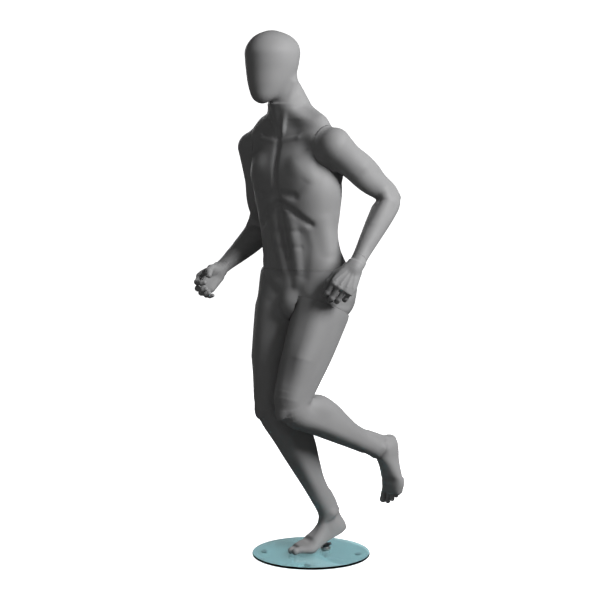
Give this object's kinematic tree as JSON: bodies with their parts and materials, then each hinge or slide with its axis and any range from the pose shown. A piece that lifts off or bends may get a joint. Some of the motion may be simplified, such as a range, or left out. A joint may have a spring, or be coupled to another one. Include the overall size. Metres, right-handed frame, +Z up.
{
  "type": "full body mannequin",
  "caption": "Faceless male full body mannequin in a running pose, in matte grey, with a removable upper body, arms, hands and leg, on a round glass base.",
  "frame": {"origin": "centre of the base's underside, on the floor", "axes": "+Z up, front of the figure towards -Y, the figure's left towards +X"},
  "size_m": [0.5195, 0.668, 1.758],
  "materials": {
    "shell": "matte grey paint on a glass-fibre laminate",
    "plywood": "bare plywood end plates",
    "steel": "turned steel",
    "dark_steel": "blackened steel",
    "rubber": "clear grey rubber",
    "glass": "blue-grey tinted float glass, polished edge"
  },
  "bodies": {
    "base": {"glass_plate": "glass", "bumper_centre": "rubber", "bumper_front_left": "rubber", "bumper_back_left": "rubber", "bumper_back_right": "rubber", "bumper_front_right": "rubber", "under_washer": "steel", "under_screw": "dark_steel", "foot_rod": "steel", "glass_washer": "rubber", "foot_flange": "steel", "foot_collar": "dark_steel"},
    "lower_body": {"lower_body_shell": "shell", "waist_plate_fixed": "plywood", "waist_cup": "steel", "left_thigh_plate_fixed": "plywood", "left_thigh_cup": "steel", "foot_socket": "steel"},
    "left_leg": {"left_leg_shell": "shell", "left_thigh_plate_loose": "plywood", "left_thigh_stud": "steel"},
    "upper_body": {"upper_body_shell": "shell", "waist_plate_loose": "plywood", "waist_stud": "steel", "right_shoulder_plate_fixed": "plywood", "right_shoulder_cup": "steel", "left_shoulder_plate_fixed": "plywood", "left_shoulder_cup": "steel"},
    "right_arm": {"right_arm_shell": "shell", "right_shoulder_plate_loose": "plywood", "right_shoulder_stud": "steel", "right_wrist_plate_fixed": "plywood", "right_wrist_cup": "steel"},
    "right_wrist": {"right_wrist_stud": "steel"},
    "right_palm": {"right_hand": "shell"},
    "left_arm": {"left_arm_shell": "shell", "left_shoulder_plate_loose": "plywood", "left_shoulder_stud": "steel", "left_wrist_plate_fixed": "plywood", "left_wrist_cup": "steel"},
    "left_wrist": {"left_wrist_stud": "steel"},
    "left_palm": {"left_hand": "shell"},
    "thumb_screw_1": {"thumb_screw_1": "dark_steel"},
    "thumb_screw_2": {"thumb_screw_2": "dark_steel"},
    "thumb_screw_3": {"thumb_screw_3": "dark_steel"}
  },
  "joints": [
    {"name": "figure_lift", "type": "slide", "parent": "base", "child": "lower_body", "axis": [0, 0, 1], "range_m": [0, 0.085]},
    {"name": "waist_lift", "type": "slide", "parent": "lower_body", "child": "upper_body", "axis": [0, 0, 1], "range_m": [0, 0.065]},
    {"name": "left_leg_pull", "type": "slide", "parent": "lower_body", "child": "left_leg", "axis": [-0.0046, -0.3992, -0.9168], "range_m": [0, 0.028]},
    {"name": "right_arm_pull", "type": "slide", "parent": "upper_body", "child": "right_arm", "axis": [-0.9848, -0.1736, 0], "range_m": [0, 0.042]},
    {"name": "right_hand_pull", "type": "slide", "parent": "right_arm", "child": "right_wrist", "axis": [0.1528, -0.8673, -0.4738], "range_m": [0, 0.026]},
    {"name": "right_hand_turn", "type": "hinge", "parent": "right_wrist", "child": "right_palm", "pos_m": [-0.1772, -0.23249, 0.99012], "axis": [0.1528, -0.8673, -0.4738], "range_deg": [-20, 20]},
    {"name": "left_arm_pull", "type": "slide", "parent": "upper_body", "child": "left_arm", "axis": [0.9848, 0.1736, 0], "range_m": [0, 0.042]},
    {"name": "left_hand_pull", "type": "slide", "parent": "left_arm", "child": "left_wrist", "axis": [0.1214, -0.6709, -0.7316], "range_m": [0, 0.026]},
    {"name": "left_hand_turn", "type": "hinge", "parent": "left_wrist", "child": "left_palm", "pos_m": [0.23932, -0.00213, 1.02821], "axis": [0.1214, -0.6709, -0.7316], "range_deg": [-20, 20]},
    {"name": "thumb_screw_1_turn", "type": "hinge", "parent": "base", "child": "thumb_screw_1", "pos_m": [0.006, 0.06, 0.0284], "axis": [0.1736, 0.9848, 0], "continuous": true},
    {"name": "thumb_screw_2_turn", "type": "hinge", "parent": "base", "child": "thumb_screw_2", "pos_m": [0.006, 0.06, 0.0284], "axis": [-0.9397, -0.342, 0], "continuous": true},
    {"name": "thumb_screw_3_turn", "type": "hinge", "parent": "base", "child": "thumb_screw_3", "pos_m": [0.006, 0.06, 0.0284], "axis": [0.766, -0.6428, 0], "continuous": true}
  ]
}
